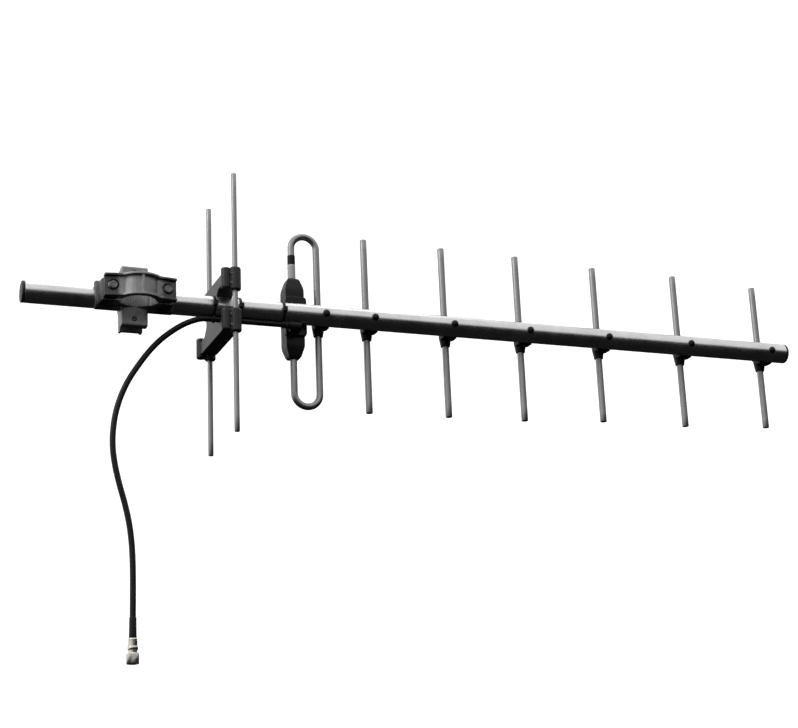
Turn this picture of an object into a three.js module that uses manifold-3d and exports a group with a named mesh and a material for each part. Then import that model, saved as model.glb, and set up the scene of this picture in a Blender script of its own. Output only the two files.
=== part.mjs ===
// Nine-element yagi antenna with its crossover mast clamp and cable tail.
// Millimetres, +Z up. X runs along the boom towards its tip, +Y points away from the mast.
// The origin is the axis of the mast opening, at the middle of the front jaw.
import * as THREE from "three";
import { mergeVertices } from "three/addons/utils/BufferGeometryUtils.js";
import Module from "manifold-3d";

const wasm = await Module();
wasm.setup();

// ---------------------------------------------------------------- driving sizes
const gap = 0.3; // between pieces that touch

const mastRadius = 28.6;
const clampWeb = 6.85; // casting between mast and boom

const boomRadius = 19.05;
const boomWall = 2;
const boomLength = 1500;
const boomRearReach = 185; // rear end to mast axis

const rodRadius = 6.35;
const rodStandOff = 31.6; // rod axis behind the boom axis
const directorPlaces = [443, 599, 753, 919, 1098, 1281];
const directorLengths = [335, 331, 327, 311, 309, 293];
const rodEndChamfer = 0.9;

const saddleHalfHeight = 30;
const saddleWidth = 29;
const saddleScrewRadius = 2.5;
const saddleScrewBite = 10; // screw length past the rod axis
const screwDomeRadius = 6.6;
const screwDomeHeight = 5.6;

const fedLegX = 301.5;
const dipoleSpacing = 48;
const dipoleHeight = 337;
const feedGap = 20;

const housingHalfHeight = 77;
const housingWidth = 35;
const housingDepth = 33;
const housingWall = 3.2;
const housingPadWidth = 40;
const housingPadHeight = 74;
const coverScrewRadius = 2;

const bandLength = 18;
const sleeveLength = 27;

const reflectorX = 172;
const reflectorRadius = 4.75;
const reflectorLength = 475;
const reflectorSpread = 172; // between the two rods
const bracketSetBack = 38; // bracket middle behind the boom axis
const bracketHalfHeight = 52;
const bracketArmDepth = 21;
const clipHeight = 42;
const clipMiddleZ = 38;
const clipBossRadius = 10.5;
const clipHeelRadius = 8.5;
const clipHeelOffset = 17;

const clampHalfWidth = 20; // half height of the mast jaw, half width of the boom jaw
const jawWall = 6;
const jawFlangeProud = 6;
const jawFlange = 4;
const toothDepth = 1.3;
const mastBoltPitch = 94;
const mastWingReach = 62;
const boomBoltPitch = 84;
const boomWingReach = 56;
const boltRadius = 4;
const boltHeadRadius = 7.5;
const boltHeadHeight = 5.5;
const boltFlangeRadius = 8.8;
const cradleHalfLength = 68;

const coaxRadius = 5.15;
const coaxSeatAngle = 12; // degrees from straight below the boom towards the mast
const coaxRunEnd = 140;
const tieWidth = 4.8;
const tiePlaces = [271, 191, 144];

// ---------------------------------------------------------------- derived places
const boomY = mastRadius + clampWeb + boomRadius;
const boomTipX = boomLength - boomRearReach;
const secondLegX = fedLegX + dipoleSpacing;
const boomClear = boomRadius + gap;
const coaxReach = boomRadius + coaxRadius + gap;
const coaxSeat = {
  y: -coaxReach * Math.sin(THREE.MathUtils.degToRad(coaxSeatAngle)),
  z: -coaxReach * Math.cos(THREE.MathUtils.degToRad(coaxSeatAngle)),
};

// ---------------------------------------------------------------- solid helpers
function solid(geometry) {
  const plain = geometry.clone();
  plain.deleteAttribute("normal");
  plain.deleteAttribute("uv");
  const merged = mergeVertices(plain, 1e-4);
  const corners = merged.index.array;
  const kept = [];
  for (let i = 0; i < corners.length; i += 3) {
    const [a, b, c] = [corners[i], corners[i + 1], corners[i + 2]];
    if (a !== b && b !== c && c !== a) {
      kept.push(a, b, c);
    }
  }
  const places = merged.attributes.position.array;
  return new wasm.Manifold(new wasm.Mesh({
    numProp: 3,
    vertProperties: new Float32Array(places),
    triVerts: new Uint32Array(kept),
  }));
}

function geometryOf(body) {
  const mesh = body.getMesh();
  const geometry = new THREE.BufferGeometry();
  geometry.setAttribute("position", new THREE.BufferAttribute(mesh.vertProperties, 3));
  geometry.setIndex(new THREE.BufferAttribute(mesh.triVerts, 1));
  const faceted = geometry.toNonIndexed();
  faceted.computeVertexNormals();
  return faceted;
}

const join = (first, ...others) => others.reduce((sum, other) => sum.add(other), first);
const cut = (first, ...others) => others.reduce((rest, other) => rest.subtract(other), first);

// Turns a shape made along Z so that it runs along another axis.
function turned(geometry, axis) {
  if (axis === "x") {
    geometry.rotateY(Math.PI / 2);
  }
  if (axis === "y") {
    geometry.rotateX(-Math.PI / 2);
  }
  return geometry;
}

// A solid of revolution about `axis` through `at`, from [radius, height] pairs that start and end on it.
function revolved(profile, { axis = "z", at = [0, 0, 0], sides = 24 } = {}) {
  const points = profile.map(([radius, height]) => new THREE.Vector2(radius, height));
  const geometry = new THREE.LatheGeometry(points, sides);
  geometry.rotateX(Math.PI / 2);
  turned(geometry, axis);
  geometry.translate(...at);
  return solid(geometry);
}

// A plain cylinder along `axis` between two stations on that axis.
function bar(radius, from, to, { axis = "z", at = [0, 0, 0], sides = 24 } = {}) {
  return revolved([[0, from], [radius, from], [radius, to], [0, to]], { axis, at, sides });
}

function block(low, high) {
  const size = high.map((value, i) => value - low[i]);
  const geometry = new THREE.BoxGeometry(...size);
  geometry.translate(...low.map((value, i) => value + size[i] / 2));
  return solid(geometry);
}

// A closed outline through the points, each corner rounded by `radius`.
function rounded(points, radius) {
  const shape = new THREE.Shape();
  points.forEach(([x, y], i) => {
    const corner = new THREE.Vector2(x, y);
    const before = new THREE.Vector2(...points[(i + points.length - 1) % points.length]);
    const after = new THREE.Vector2(...points[(i + 1) % points.length]);
    const reachIn = Math.min(radius, before.distanceTo(corner) * 0.45);
    const reachOut = Math.min(radius, after.distanceTo(corner) * 0.45);
    const start = corner.clone().add(before.sub(corner).setLength(reachIn));
    const end = corner.clone().add(after.sub(corner).setLength(reachOut));
    if (i === 0) {
      shape.moveTo(start.x, start.y);
    } else {
      shape.lineTo(start.x, start.y);
    }
    shape.quadraticCurveTo(corner.x, corner.y, end.x, end.y);
  });
  shape.closePath();
  return shape;
}

function prism(shape, from, to, { bevel = 0, smooth = 2 } = {}) {
  const geometry = new THREE.ExtrudeGeometry(shape, {
    depth: to - from - 2 * bevel,
    bevelEnabled: bevel > 0,
    bevelThickness: bevel,
    bevelSize: bevel,
    bevelOffset: -bevel,
    bevelSegments: 1,
    curveSegments: smooth,
  });
  geometry.translate(0, 0, from + bevel);
  return geometry;
}

// Outline in X and Z, extruded along Y.
function prismXZ(shape, from, to, options) {
  const geometry = prism(shape, -to, -from, options);
  geometry.rotateX(Math.PI / 2);
  return solid(geometry);
}

// Outline in Y and Z, extruded along X.
function prismYZ(shape, from, to, options) {
  const geometry = prism(shape, from, to, options);
  geometry.rotateZ(Math.PI / 2);
  geometry.rotateY(Math.PI / 2);
  return solid(geometry);
}

// Outline in X and Y, extruded along Z.
function prismXY(shape, from, to, options) {
  return solid(prism(shape, from, to, options));
}

function rectangle(halfWidth, halfHeight) {
  return [
    [-halfWidth, -halfHeight],
    [halfWidth, -halfHeight],
    [halfWidth, halfHeight],
    [-halfWidth, halfHeight],
  ];
}

// A disc whose rim is a row of teeth; cut from a casting it leaves a serrated jaw.
function toothedDisc(tipRadius, teeth) {
  const shape = new THREE.Shape();
  const steps = teeth * 2;
  for (let i = 0; i < steps; i += 1) {
    const radius = i % 2 ? tipRadius : tipRadius + toothDepth;
    const angle = (i / steps) * Math.PI * 2;
    const x = radius * Math.cos(angle);
    const y = radius * Math.sin(angle);
    if (i === 0) {
      shape.moveTo(x, y);
    } else {
      shape.lineTo(x, y);
    }
  }
  shape.closePath();
  return shape;
}

// A route with its own stations: straight stretches and arcs keep exactly the points given.
class StationPath extends THREE.Curve {
  constructor(stations) {
    super();
    this.stations = stations;
  }

  getPoint(t, target = new THREE.Vector3()) {
    const place = t * (this.stations.length - 1);
    const index = Math.min(Math.floor(place), this.stations.length - 2);
    return target.lerpVectors(this.stations[index], this.stations[index + 1], place - index);
  }

  getPointAt(u, target) {
    return this.getPoint(u, target);
  }

  getTangentAt(u, target = new THREE.Vector3()) {
    const step = 0.5 / (this.stations.length - 1);
    const before = this.getPoint(Math.max(0, u - step));
    const after = this.getPoint(Math.min(1, u + step));
    return target.subVectors(after, before).normalize();
  }
}

function circle(radius, sides) {
  const shape = new THREE.Shape();
  for (let i = 0; i < sides; i += 1) {
    const angle = (i / sides) * Math.PI * 2;
    const [x, y] = [radius * Math.cos(angle), radius * Math.sin(angle)];
    if (i === 0) {
      shape.moveTo(x, y);
    } else {
      shape.lineTo(x, y);
    }
  }
  shape.closePath();
  return shape;
}

function swept(radius, path, steps, sides) {
  const geometry = new THREE.ExtrudeGeometry(circle(radius, sides), {
    extrudePath: path,
    steps,
    bevelEnabled: false,
  });
  return solid(geometry);
}

// ---------------------------------------------------------------- materials
const material = (color, roughness, metalness) =>
  new THREE.MeshStandardMaterial({ color, roughness, metalness });
const aluminium = material(0xc9ccce, 0.38, 0.9);
const castAluminium = material(0x8d9092, 0.6, 0.75);
const darkCasting = material(0x3a3c3e, 0.65, 0.45);
const blackPlastic = material(0x18191a, 0.55, 0);
const blackRubber = material(0x121212, 0.7, 0);
const greySleeve = material(0xb9bbba, 0.5, 0);
const steel = material(0xb0b3b5, 0.3, 1);
const brass = material(0xb89a55, 0.35, 1);
const board = material(0x2f5d3a, 0.6, 0);
const cableJacket = material(0x141414, 0.5, 0);
const nickel = material(0xc4c2bb, 0.25, 1);

function piece(name, body, finish) {
  const mesh = new THREE.Mesh(geometryOf(body), finish);
  mesh.name = name;
  return mesh;
}

// ---------------------------------------------------------------- boom
const boomSides = 32;
const boomBore = boomRadius - boomWall;
const boomBlank = bar(boomClear, -boomRearReach - 50, boomTipX + 50, { axis: "x", sides: boomSides });

function screwHoleX() {
  return [...directorPlaces, secondLegX];
}

function boomTube() {
  const outside = bar(boomRadius, -boomRearReach, boomTipX, { axis: "x", sides: boomSides });
  const inside = bar(boomBore, -boomRearReach - 1, boomTipX + 1, { axis: "x", sides: boomSides });
  const through = screwHoleX().map((x) =>
    bar(saddleScrewRadius + gap, -boomRadius - 2, boomRadius + 2, { axis: "y", at: [x, 0, 0], sides: 8 }));
  const oneWall = [fedLegX, reflectorX].map((x) =>
    bar(saddleScrewRadius + gap, 0, boomRadius + 2, { axis: "y", at: [x, 0, 0], sides: 8 }));
  return cut(outside, inside, ...through, ...oneWall);
}

// Plug with a stepped stem and a crowned face; `outward` is +1 at the tip and -1 at the rear.
function boomCap(outward) {
  const stem = boomBore - gap;
  const crown = 4;
  const profile = [
    [0, -14],
    [stem - 1.2, -14],
    [stem, -11],
    [stem, gap],
    [boomRadius, gap],
    [boomRadius, crown - 1.6],
    [boomRadius - 1.2, crown],
    [boomRadius * 0.55, crown + 1.1],
    [0, crown + 1.4],
  ].map(([radius, height]) => [radius, height * outward]);
  const endX = outward > 0 ? boomTipX : -boomRearReach;
  return revolved(outward > 0 ? profile : profile.reverse(), { axis: "x", at: [endX, 0, 0], sides: 20 });
}

// ---------------------------------------------------------------- parasitic rods and their saddles
function rod(radius, length, { x, y }) {
  const end = length / 2;
  const profile = [
    [0, -end],
    [radius - rodEndChamfer, -end],
    [radius, -end + rodEndChamfer],
    [radius, end - rodEndChamfer],
    [radius - rodEndChamfer, end],
    [0, end],
  ];
  return revolved(profile, { at: [x, y, 0], sides: 16 });
}

function director(x, length) {
  const drilled = bar(saddleScrewRadius + gap, 0, rodStandOff + rodRadius + 2, {
    axis: "y",
    at: [x, 0, 0],
    sides: 8,
  });
  return cut(rod(rodRadius, length, { x, y: rodStandOff }), drilled);
}

// Moulded saddle: a pad that hugs the boom, a tapered barrel round the rod and a gusset between them.
function saddle(x) {
  const half = saddleHalfHeight;
  const pad = prismXZ(rounded(rectangle(saddleWidth / 2, 21), 6), 7, 23);
  const barrel = revolved([
    [0, -half],
    [rodRadius + 2.4, -half],
    [rodRadius + 5.4, -12],
    [rodRadius + 5.4, 12],
    [rodRadius + 2.4, half],
    [0, half],
  ], { at: [0, rodStandOff, 0], sides: 16 });
  const gusset = prismYZ(
    rounded([[8, -20], [rodStandOff, -half + 4], [rodStandOff, half - 4], [8, 20]], 2), -5, 5);
  const boss = revolved([
    [0, 0],
    [8.6, 0],
    [7, rodRadius + 9.7],
    [0, rodRadius + 9.7],
  ], { axis: "y", at: [0, rodStandOff, 0], sides: 14 });
  const body = join(pad, barrel, gusset, boss);
  const bore = bar(rodRadius + gap, -half - 1, half + 1, { at: [0, rodStandOff, 0], sides: 16 });
  const screwHole = bar(saddleScrewRadius + gap, 0, rodStandOff + saddleScrewBite + 1, { axis: "y", sides: 8 });
  return cut(body.translate([x, 0, 0]), boomBlank, bore.translate([x, 0, 0]), screwHole.translate([x, 0, 0]));
}

// Domed screw from the mast side of the boom through boom and rod into the saddle.
function saddleScrew(x) {
  const seat = -boomRadius + 2.2;
  const dome = revolved([
    [0, -seat],
    [screwDomeRadius, -seat],
    [screwDomeRadius, boomRadius + 1.4],
    [screwDomeRadius * 0.86, boomRadius + screwDomeHeight * 0.62],
    [screwDomeRadius * 0.5, boomRadius + screwDomeHeight * 0.92],
    [0, boomRadius + screwDomeHeight],
  ], { axis: "y", sides: 14 }).mirror([0, 1, 0]);
  const shank = bar(saddleScrewRadius, seat - 4, rodStandOff + saddleScrewBite, { axis: "y", sides: 8 });
  return join(cut(dome, bar(boomClear, -20, 20, { axis: "x", sides: boomSides })), shank).translate([x, 0, 0]);
}

// ---------------------------------------------------------------- folded dipole
function foldedDipole() {
  const bend = dipoleSpacing / 2;
  const straight = dipoleHeight / 2 - rodRadius - bend;
  const middleX = fedLegX + bend;
  const arcSteps = 12;
  const stations = [new THREE.Vector3(fedLegX, rodStandOff, feedGap / 2)];
  for (let i = 0; i <= arcSteps; i += 1) {
    const angle = Math.PI * (1 - i / arcSteps);
    stations.push(new THREE.Vector3(
      middleX + bend * Math.cos(angle), rodStandOff, straight + bend * Math.sin(angle)));
  }
  for (let i = 0; i <= arcSteps; i += 1) {
    const angle = -Math.PI * (i / arcSteps);
    stations.push(new THREE.Vector3(
      middleX + bend * Math.cos(angle), rodStandOff, -straight + bend * Math.sin(angle)));
  }
  stations.push(new THREE.Vector3(fedLegX, rodStandOff, -feedGap / 2));
  const tube = swept(rodRadius, new StationPath(stations), stations.length - 1, 16);
  const drilled = bar(saddleScrewRadius + gap, 0, rodStandOff + rodRadius + 2, {
    axis: "y",
    at: [secondLegX, 0, 0],
    sides: 12,
  });
  return cut(tube, drilled);
}

function collar(innerRadius, outerRadius, from, to) {
  const ring = bar(outerRadius, from, to, { at: [fedLegX, rodStandOff, 0], sides: 20 });
  return cut(ring, bar(innerRadius, from - 1, to + 1, { at: [fedLegX, rodStandOff, 0], sides: 20 }));
}

// ---------------------------------------------------------------- feed housing
const coverSplit = rodStandOff; // the housing opens along the fed leg's axis
const housingNear = rodStandOff - housingDepth / 2;
const housingFar = rodStandOff + housingDepth / 2;
const cavityNear = housingNear + 7;
const cavityFar = housingFar - housingWall;
const cavityHalfHeight = 40;
const coverScrewPlaces = [[-12.2, 46], [12.2, -46]];
const coaxEntryLength = 20;

function housingBlank() {
  const half = housingHalfHeight;
  const wide = housingWidth / 2;
  const front = rounded([
    [-rodRadius - 4, -half],
    [rodRadius + 4, -half],
    [wide, -half + 22],
    [wide, half - 22],
    [rodRadius + 4, half],
    [-rodRadius - 4, half],
    [-wide, half - 22],
    [-wide, -half + 22],
  ], 5);
  const side = rounded([
    [rodStandOff - 10, -half],
    [rodStandOff + 10, -half],
    [housingFar, -half + 24],
    [housingFar, half - 24],
    [rodStandOff + 10, half],
    [rodStandOff - 10, half],
    [housingNear, half - 24],
    [housingNear, -half + 24],
  ], 5);
  const shell = prismXZ(front, housingNear - 4, housingFar + 4).intersect(prismYZ(side, -wide - 4, wide + 4));
  const pad = prismXZ(rounded(rectangle(housingPadWidth / 2, housingPadHeight / 2), 6), 9, 22, { bevel: 1 });
  const entry = bar(9.2, -housingWidth / 2, -housingWidth / 2 + coaxEntryLength, {
    axis: "x",
    at: [0, coaxSeat.y, coaxSeat.z - 1],
    sides: 20,
  });
  const bridge = block(
    [-housingWidth / 2 + 2, coaxSeat.y, coaxSeat.z - 10.2],
    [-housingWidth / 2 + coaxEntryLength, housingNear + 2, -boomRadius + 4]);
  return join(shell, pad, entry, bridge);
}

function housingHollows() {
  const half = housingHalfHeight;
  const cavity = prismXZ(rounded(rectangle(wideInside(), cavityHalfHeight), 3), cavityNear, cavityFar);
  const legBore = bar(rodRadius + gap, -half - 2, half + 2, { at: [0, rodStandOff, 0], sides: 18 });
  const coaxBore = bar(coaxRadius + gap, -housingWidth / 2 - 1, 0, {
    axis: "x",
    at: [0, coaxSeat.y, coaxSeat.z],
    sides: 12,
  });
  const tunnel = block([-6, coaxSeat.y - 3, coaxSeat.z - 6], [0, cavityNear + 1, coaxSeat.z + 1]);
  return [cavity, legBore, coaxBore, tunnel];
}

const wideInside = () => housingWidth / 2 - housingWall;

function coverScrewHoles() {
  return coverScrewPlaces.flatMap(([x, z]) => [
    bar(coverScrewRadius + gap, housingNear + 3, housingFar + 1, { axis: "y", at: [x, 0, z], sides: 12 }),
    bar(coverScrewRadius * 2 + gap, housingFar - 4, housingFar + 1, { axis: "y", at: [x, 0, z], sides: 16 }),
  ]);
}

function feedHousing() {
  const fixing = bar(saddleScrewRadius + gap, 0, cavityNear + 1, { axis: "y", sides: 12 });
  const half = block([-40, -40, -100], [40, coverSplit - gap / 2, 100]);
  const body = cut(housingBlank(), ...housingHollows(), ...coverScrewHoles(), fixing).intersect(half);
  return cut(body.translate([fedLegX, 0, 0]), boomBlank);
}

function feedCover() {
  const half = block([-40, coverSplit + gap / 2, -100], [40, 100, 100]);
  const body = cut(housingBlank(), ...housingHollows(), ...coverScrewHoles()).intersect(half);
  return body.translate([fedLegX, 0, 0]);
}

function coverScrew([x, z]) {
  const shank = bar(coverScrewRadius, housingNear + 5, housingFar - 3.6, { axis: "y", sides: 12 });
  const head = revolved([
    [0, housingFar - 3.7],
    [coverScrewRadius * 2, housingFar - 3.7],
    [coverScrewRadius * 2, housingFar - 1.8],
    [coverScrewRadius * 1.3, housingFar - 0.9],
    [0, housingFar - 0.6],
  ], { axis: "y", sides: 16 });
  return join(shank, head).translate([fedLegX + x, 0, z]);
}

// Screw from inside the housing into the boom wall behind it.
function housingScrew() {
  const shank = bar(saddleScrewRadius, boomRadius - 6, cavityNear + gap + 1, { axis: "y", sides: 12 });
  const head = bar(4.6, cavityNear + gap, cavityNear + gap + 2.8, { axis: "y", sides: 16 });
  return join(shank, head).translate([fedLegX, 0, 0]);
}

// Brass collar on a cut end of the fed leg, with a lug that reaches the matching board.
function feedTerminal(side) {
  const from = feedGap / 2 + 2;
  const ring = revolved([[0, from], [rodRadius + 2.7, from], [rodRadius + 2.7, from + 11], [0, from + 11]], {
    at: [0, rodStandOff, 0],
    sides: 20,
  });
  const lug = block([-3.5, rodStandOff, from], [3.5, rodStandOff + rodRadius + 3.4, from + 11]);
  const bore = bar(rodRadius + gap, from - 1, from + 12, { at: [0, rodStandOff, 0], sides: 20 });
  const body = cut(join(ring, lug), bore);
  const placed = side > 0 ? body : body.mirror([0, 0, 1]);
  return placed.translate([fedLegX, 0, 0]);
}

function matchingBoard() {
  const near = rodStandOff + rodRadius + 3.4 + gap;
  return prismXZ(rounded(rectangle(wideInside() - 1.5, 34), 2), near, near + 1.5).translate([fedLegX, 0, 0]);
}

// ---------------------------------------------------------------- reflector pair on its bracket
const reflectorNear = bracketSetBack - reflectorSpread / 2;
const reflectorFar = bracketSetBack + reflectorSpread / 2;
const bracketBack = bracketSetBack * 2 - 2; // far face of the middle block
const bracketLeft = -20;
const bracketRight = 9;
const armInner = bracketHalfHeight - bracketArmDepth;

// Twin boss that grips a rod: the rod's own boss and the heel boss beside it.
function clipBlank(y, z) {
  const low = z - clipHeight / 2;
  const high = z + clipHeight / 2;
  const rodBoss = revolved([
    [0, low],
    [clipBossRadius - 1.5, low],
    [clipBossRadius, low + 2],
    [clipBossRadius, high - 2],
    [clipBossRadius - 1.5, high],
    [0, high],
  ], { at: [0, y, 0], sides: 16 });
  const heelBoss = revolved([
    [0, low + 2],
    [clipHeelRadius - 1.5, low + 2],
    [clipHeelRadius, low + 4],
    [clipHeelRadius, high - 4],
    [clipHeelRadius - 1.5, high - 2],
    [0, high - 2],
  ], { at: [-clipHeelOffset, y, 0], sides: 12 });
  const web = block([-clipHeelOffset, y - 5.5, low + 3], [0, y + 5.5, high - 3]);
  return join(rodBoss, heelBoss, web);
}

const clipPlaces = [
  ["near_upper", reflectorNear, clipMiddleZ],
  ["near_lower", reflectorNear, -clipMiddleZ],
  ["far_upper", reflectorFar, clipMiddleZ],
  ["far_lower", reflectorFar, -clipMiddleZ],
];
const reflectorBores = [reflectorNear, reflectorFar].map((y) =>
  bar(reflectorRadius + gap, -100, 100, { at: [0, y, 0], sides: 14 }));

// The clip's outer half is a loose cap; the inner half belongs to the bracket.
function clipHalf(y, z, outer) {
  const outward = Math.sign(y - bracketSetBack) * (outer ? 1 : -1);
  const face = y + outward * gap / 2;
  const far = y + outward * 40;
  const side = block([-60, Math.min(face, far), -120], [60, Math.max(face, far), 120]);
  return clipBlank(y, z).intersect(side);
}

function clipCap(y, z) {
  return cut(clipHalf(y, z, true), ...reflectorBores).translate([reflectorX, 0, 0]);
}

function bracketOutline() {
  const top = bracketHalfHeight;
  const upper = [
    [reflectorNear + 4, top - 3],
    [reflectorNear + 16, top],
    [reflectorFar - 16, top],
    [reflectorFar - 4, top - 3],
    [reflectorFar - 4, armInner - 2],
    [bracketBack + 14, armInner - 4],
    [bracketBack, 12],
  ];
  const lower = upper.map(([y, z]) => [y, -z]).reverse();
  const mouth = [
    [4, -boomRadius - 2],
    [-7, -armInner],
    [reflectorNear + 4, -armInner],
  ];
  return [...upper, ...lower, ...mouth.slice().reverse(), ...mouth.map(([y, z]) => [y, -z])];
}

function reflectorBracket() {
  const outlinePoints = bracketOutline();
  const plate = prismYZ(rounded(outlinePoints, 3), bracketLeft, bracketRight);
  const heels = clipPlaces.map(([, y, z]) => clipHalf(y, z, false));
  const body = join(plate, ...heels);
  // Pockets from the +X side leave a web with a rim and a cross rib.
  const depthFrom = bracketLeft + 7;
  const pocketTop = bracketHalfHeight - 5;
  const armPocket = (low, high, from, to) =>
    prismYZ(rounded([[from, low], [to, low], [to, high], [from, high]], 2.5), depthFrom, bracketRight + 5, {
      smooth: 1,
    });
  const pockets = [
    armPocket(armInner + 4, pocketTop, bracketBack + 10, reflectorFar - 15),
    armPocket(armInner + 4, pocketTop, bracketSetBack + 3, bracketBack + 4),
    armPocket(armInner + 4, pocketTop, 2, bracketSetBack - 3),
    armPocket(armInner + 4, pocketTop, reflectorNear + 15, -4),
    armPocket(7, armInner - 2, boomRadius + 12, bracketBack - 6),
  ];
  const mirrored = pockets.map((pocket) => pocket.mirror([0, 0, 1]));
  const screwHole = bar(saddleScrewRadius + gap, 0, bracketBack + 10, { axis: "y", sides: 12 });
  const counterbore = bar(6, boomRadius + 16, bracketBack + 10, { axis: "y", sides: 16 });
  const coaxWay = bar(coaxRadius + gap, -60, 60, { axis: "x", at: [0, coaxSeat.y, coaxSeat.z], sides: 12 });
  const shaped = cut(body, ...pockets, ...mirrored, ...reflectorBores, screwHole, counterbore, coaxWay);
  return cut(shaped.translate([reflectorX, 0, 0]), boomBlank);
}

function bracketScrew() {
  const seat = boomRadius + 16 + gap;
  const shank = bar(saddleScrewRadius, boomRadius - 7, seat + 1, { axis: "y", sides: 12 });
  const head = revolved([[0, seat], [5.2, seat], [5.2, seat + 2.6], [3.6, seat + 4], [0, seat + 4.2]], {
    axis: "y",
    sides: 16,
  });
  return join(shank, head).translate([reflectorX, 0, 0]);
}

// ---------------------------------------------------------------- mast clamp
const mastTeeth = 45;
const boomTeeth = 34;
const mastTooth = toothedDisc(mastRadius + gap, mastTeeth);
const boomTooth = toothedDisc(boomRadius + gap, boomTeeth);
const jawFace = -14; // outer face of the mast jaw's wings
const baseWingFace = 6; // face of the base's wings towards the jaw

// Jaw outline in its own plane: an arch with two wings, opening towards +v.
function jawOutline(archRadius, wingReach, wingFront, wingBack) {
  const shoulder = archRadius * 0.78;
  const drop = Math.sqrt(archRadius * archRadius - shoulder * shoulder);
  const points = [[-wingReach, wingBack], [-wingReach, wingFront]];
  const arcSteps = 10;
  const startAngle = Math.atan2(-drop, -shoulder);
  const endAngle = Math.atan2(-drop, shoulder);
  const sweep = endAngle - startAngle;
  for (let i = 0; i <= arcSteps; i += 1) {
    const angle = startAngle + (sweep * i) / arcSteps;
    points.push([archRadius * Math.cos(angle), archRadius * Math.sin(angle)]);
  }
  points.push([wingReach, wingFront], [wingReach, wingBack]);
  const shape = new THREE.Shape();
  shape.moveTo(...points[0]);
  points.slice(1).forEach((point) => shape.lineTo(...point));
  shape.closePath();
  return shape;
}

// A channel-section jaw in its own frame: pipe axis along Z, wings along X, arch towards -Y.
function jaw({ pipeRadius, tooth, wingReach, wingFront, wingBack, boltPitch }) {
  const archRadius = pipeRadius + jawWall;
  const web = prismXY(jawOutline(archRadius, wingReach, wingFront, wingBack), -clampHalfWidth, clampHalfWidth);
  const proud = jawOutline(archRadius + jawFlangeProud, wingReach, wingFront - jawFlangeProud, wingBack);
  const low = prismXY(proud, -clampHalfWidth, -clampHalfWidth + jawFlange);
  const high = prismXY(proud, clampHalfWidth - jawFlange, clampHalfWidth);
  const rib = block([-2, -archRadius - jawFlangeProud + 1.5, -clampHalfWidth + 1], [2, -pipeRadius, clampHalfWidth - 1]);
  const teeth = prismXY(tooth, -clampHalfWidth - 1, clampHalfWidth + 1);
  const holes = [-1, 1].flatMap((side) => {
    const at = [(side * boltPitch) / 2, 0, 0];
    return [
      bar(boltRadius + gap, wingFront - 1, wingBack + 1, { axis: "y", at, sides: 12 }),
      bar(boltFlangeRadius + 0.8, wingFront - 40, wingFront, { axis: "y", at, sides: 16 }),
    ];
  });
  return cut(join(web, low, high, rib), teeth, ...holes);
}

function mastJaw() {
  return jaw({
    pipeRadius: mastRadius,
    tooth: mastTooth,
    wingReach: mastWingReach,
    wingFront: jawFace,
    wingBack: jawFace + 8,
    boltPitch: mastBoltPitch,
  });
}

const boomWingBack = 4; // the boom jaw's wings end this far behind the boom axis
function boomJaw() {
  const body = jaw({
    pipeRadius: boomRadius,
    tooth: boomTooth,
    wingReach: boomWingReach,
    wingFront: -boomWingBack - 8,
    wingBack: -boomWingBack,
    boltPitch: boomBoltPitch,
  });
  // Turned so that the pipe axis lies along X and the arch points to +Y.
  return body.rotate([0, 0, 180]).rotate([0, 90, 0]).translate([0, boomY, 0]);
}

function flangedBolt(length) {
  const head = revolved([
    [0, -boltHeadHeight],
    [boltHeadRadius * 0.84, -boltHeadHeight],
    [boltHeadRadius, -boltHeadHeight + 1],
    [boltHeadRadius, -1.6],
    [0, -1.6],
  ], { sides: 6 });
  const flange = revolved([
    [0, -2.2],
    [boltHeadRadius * 0.9, -2.2],
    [boltFlangeRadius, -1.2],
    [boltFlangeRadius, 0],
    [0, 0],
  ], { sides: 14 });
  const shank = revolved([[0, -1], [boltRadius, -1], [boltRadius, length - 1], [boltRadius - 1, length], [0, length]], {
    sides: 12,
  });
  return join(head, flange, shank);
}

const boltTipY = boomY - boomClear - 2.5; // how far bolts reach towards the boom

function mastBolt(side) {
  const seat = jawFace - gap;
  const bolt = flangedBolt(boltTipY - seat);
  return bolt.rotate([-90, 0, 0]).translate([(side * mastBoltPitch) / 2, seat, 0]);
}

function boomBolt(side) {
  const seat = boomY + boomWingBack + 8 + gap;
  const bolt = flangedBolt(seat - mastRadius - 3);
  return bolt.rotate([90, 0, 0]).translate([0, seat, (side * boomBoltPitch) / 2]);
}

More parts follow.
